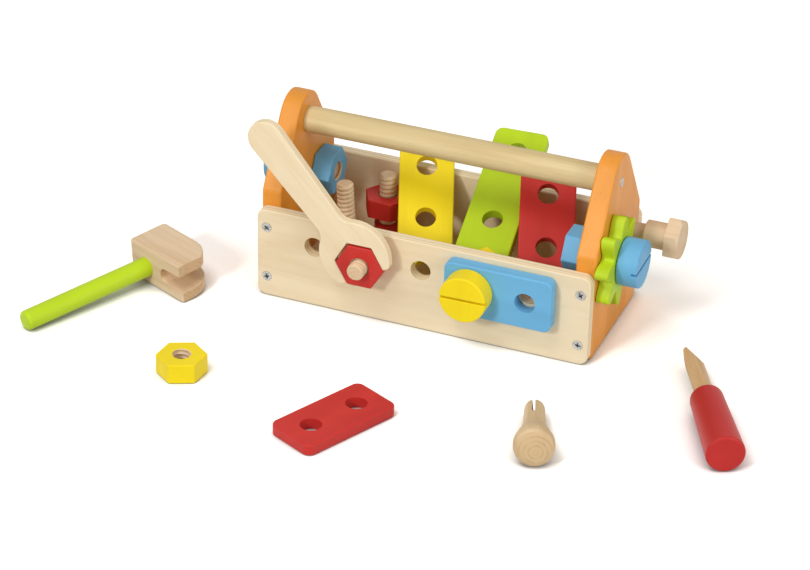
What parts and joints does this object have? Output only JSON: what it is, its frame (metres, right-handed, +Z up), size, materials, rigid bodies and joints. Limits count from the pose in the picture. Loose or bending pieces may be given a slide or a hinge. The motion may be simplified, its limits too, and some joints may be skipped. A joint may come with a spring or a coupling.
{
  "type": "toy workbench",
  "caption": "Wooden toy workbench box with peg holes and a carrying handle, holding chunky bolts, nuts, strips, a gear and a spanner, with a hammer, screwdriver and peg beside it.",
  "frame": {"origin": "centre of the box's underside, on the ground", "axes": "+X along the box to the right, -Y to the front where the spanner is, +Z up"},
  "size_m": [0.6418, 0.4015, 0.181],
  "materials": {
    "birch": "clear satin lacquer",
    "maple": "sanded, bare",
    "orange": "satin stain",
    "yellow": "satin paint",
    "green": "satin paint",
    "red": "satin paint",
    "blue": "satin paint",
    "steel": "bright zinc"
  },
  "bodies": {
    "carcass": {"front_panel": "birch", "back_panel": "birch", "end_plate_right": "orange", "end_plate_left": "orange", "bottom_board": "birch", "handle": "birch", "front_screw_left_low": "steel", "back_screw_left_low": "steel", "front_screw_left_high": "steel", "back_screw_left_high": "steel", "front_screw_right_low": "steel", "back_screw_right_low": "steel", "front_screw_right_high": "steel", "back_screw_right_high": "steel", "handle_screw_right": "steel", "handle_screw_left": "steel"},
    "front_bolt": {"front_bolt": "maple"},
    "front_nut": {"front_nut": "red"},
    "spanner": {"spanner": "birch"},
    "blue_plate": {"blue_plate": "blue"},
    "plate_screw": {"plate_screw": "yellow"},
    "plate_nut": {"plate_nut": "yellow"},
    "gear": {"gear": "green"},
    "gear_screw": {"gear_screw": "blue"},
    "gear_nut": {"gear_nut": "blue"},
    "end_bolt": {"end_bolt": "maple"},
    "left_screw": {"left_screw": "blue"},
    "left_nut": {"left_nut": "blue"},
    "leaning_bolt": {"leaning_bolt": "maple"},
    "red_bolt": {"red_bolt": "red"},
    "red_bolt_nut": {"red_bolt_nut": "red"},
    "yellow_strip": {"yellow_strip": "yellow"},
    "green_strip": {"green_strip": "green"},
    "red_strip": {"red_strip": "red"},
    "red_plate": {"red_plate": "red"},
    "loose_nut": {"loose_nut": "yellow"},
    "hammer": {"hammer_head": "maple", "hammer_handle": "green"},
    "screwdriver": {"screwdriver_handle": "red", "screwdriver_blade": "maple"},
    "peg": {"peg": "maple"}
  },
  "joints": [
    {"name": "front_bolt_turn", "type": "hinge", "parent": "carcass", "child": "front_bolt", "pos_m": [-0.05, -0.0705, 0.0595], "axis": [0, -1, 0], "continuous": true},
    {"name": "front_nut_turn", "type": "hinge", "parent": "carcass", "child": "front_nut", "pos_m": [-0.05, -0.0798, 0.0595], "axis": [0, -1, 0], "range_deg": [-60, 50]},
    {"name": "spanner_off", "type": "slide", "parent": "front_nut", "child": "spanner", "axis": [0, -1, 0], "range_m": [0, 0.04]},
    {"name": "blue_plate_swing", "type": "hinge", "parent": "carcass", "child": "blue_plate", "pos_m": [0.05, -0.0768, 0.0571], "axis": [0, -1, 0], "range_deg": [-15, 90]},
    {"name": "plate_screw_turn", "type": "hinge", "parent": "carcass", "child": "plate_screw", "pos_m": [0.05, -0.0834, 0.0571], "axis": [0, -1, 0], "continuous": true},
    {"name": "plate_nut_turn", "type": "hinge", "parent": "carcass", "child": "plate_nut", "pos_m": [0.05, -0.0507, 0.0571], "axis": [0, -1, 0], "continuous": true},
    {"name": "gear_spin", "type": "hinge", "parent": "carcass", "child": "gear", "pos_m": [0.1608, -0.025, 0.0828], "axis": [1, 0, 0], "continuous": true},
    {"name": "gear_screw_turn", "type": "hinge", "parent": "carcass", "child": "gear_screw", "pos_m": [0.1671, -0.025, 0.084], "axis": [1, 0, 0], "continuous": true},
    {"name": "gear_nut_turn", "type": "hinge", "parent": "carcass", "child": "gear_nut", "pos_m": [0.1272, -0.025, 0.084], "axis": [1, 0, 0], "continuous": true},
    {"name": "end_bolt_push", "type": "slide", "parent": "carcass", "child": "end_bolt", "axis": [1, 0, 0], "range_m": [-0.004, 0.035]},
    {"name": "left_screw_turn", "type": "hinge", "parent": "carcass", "child": "left_screw", "pos_m": [-0.1637, 0.025, 0.084], "axis": [-1, 0, 0], "continuous": true},
    {"name": "left_nut_turn", "type": "hinge", "parent": "carcass", "child": "left_nut", "pos_m": [-0.1272, 0.025, 0.084], "axis": [-1, 0, 0], "continuous": true},
    {"name": "leaning_bolt_lift", "type": "slide", "parent": "carcass", "child": "leaning_bolt", "axis": [0, 0, 1], "range_m": [0, 0.035]},
    {"name": "red_bolt_lift", "type": "slide", "parent": "carcass", "child": "red_bolt", "axis": [-0.7071, 0, 0.7071], "range_m": [0, 0.03]},
    {"name": "red_bolt_nut_turn", "type": "hinge", "parent": "red_bolt", "child": "red_bolt_nut", "pos_m": [-0.073, 0.034, 0.0573], "axis": [0, 0, 1], "continuous": true},
    {"name": "yellow_strip_draw", "type": "slide", "parent": "carcass", "child": "yellow_strip", "axis": [-0.2795, 0.7281, 0.626], "range_m": [0, 0.06]},
    {"name": "green_strip_draw", "type": "slide", "parent": "carcass", "child": "green_strip", "axis": [-0.0498, 0.8913, 0.4507], "range_m": [0, 0.06]},
    {"name": "red_strip_draw", "type": "slide", "parent": "carcass", "child": "red_strip", "axis": [-0.2442, 0.7092, 0.6613], "range_m": [0, 0.06]},
    {"name": "red_plate_lift", "type": "slide", "parent": "carcass", "child": "red_plate", "axis": [0, 0, 1], "range_m": [0, 0.1]},
    {"name": "loose_nut_lift", "type": "slide", "parent": "carcass", "child": "loose_nut", "axis": [0, 0, 1], "range_m": [0, 0.1]},
    {"name": "hammer_lift", "type": "slide", "parent": "carcass", "child": "hammer", "axis": [0, 0, 1], "range_m": [0, 0.1]},
    {"name": "screwdriver_lift", "type": "slide", "parent": "carcass", "child": "screwdriver", "axis": [0, 0, 1], "range_m": [0, 0.1]},
    {"name": "peg_lift", "type": "slide", "parent": "carcass", "child": "peg", "axis": [0, 0, 1], "range_m": [0, 0.1]}
  ]
}
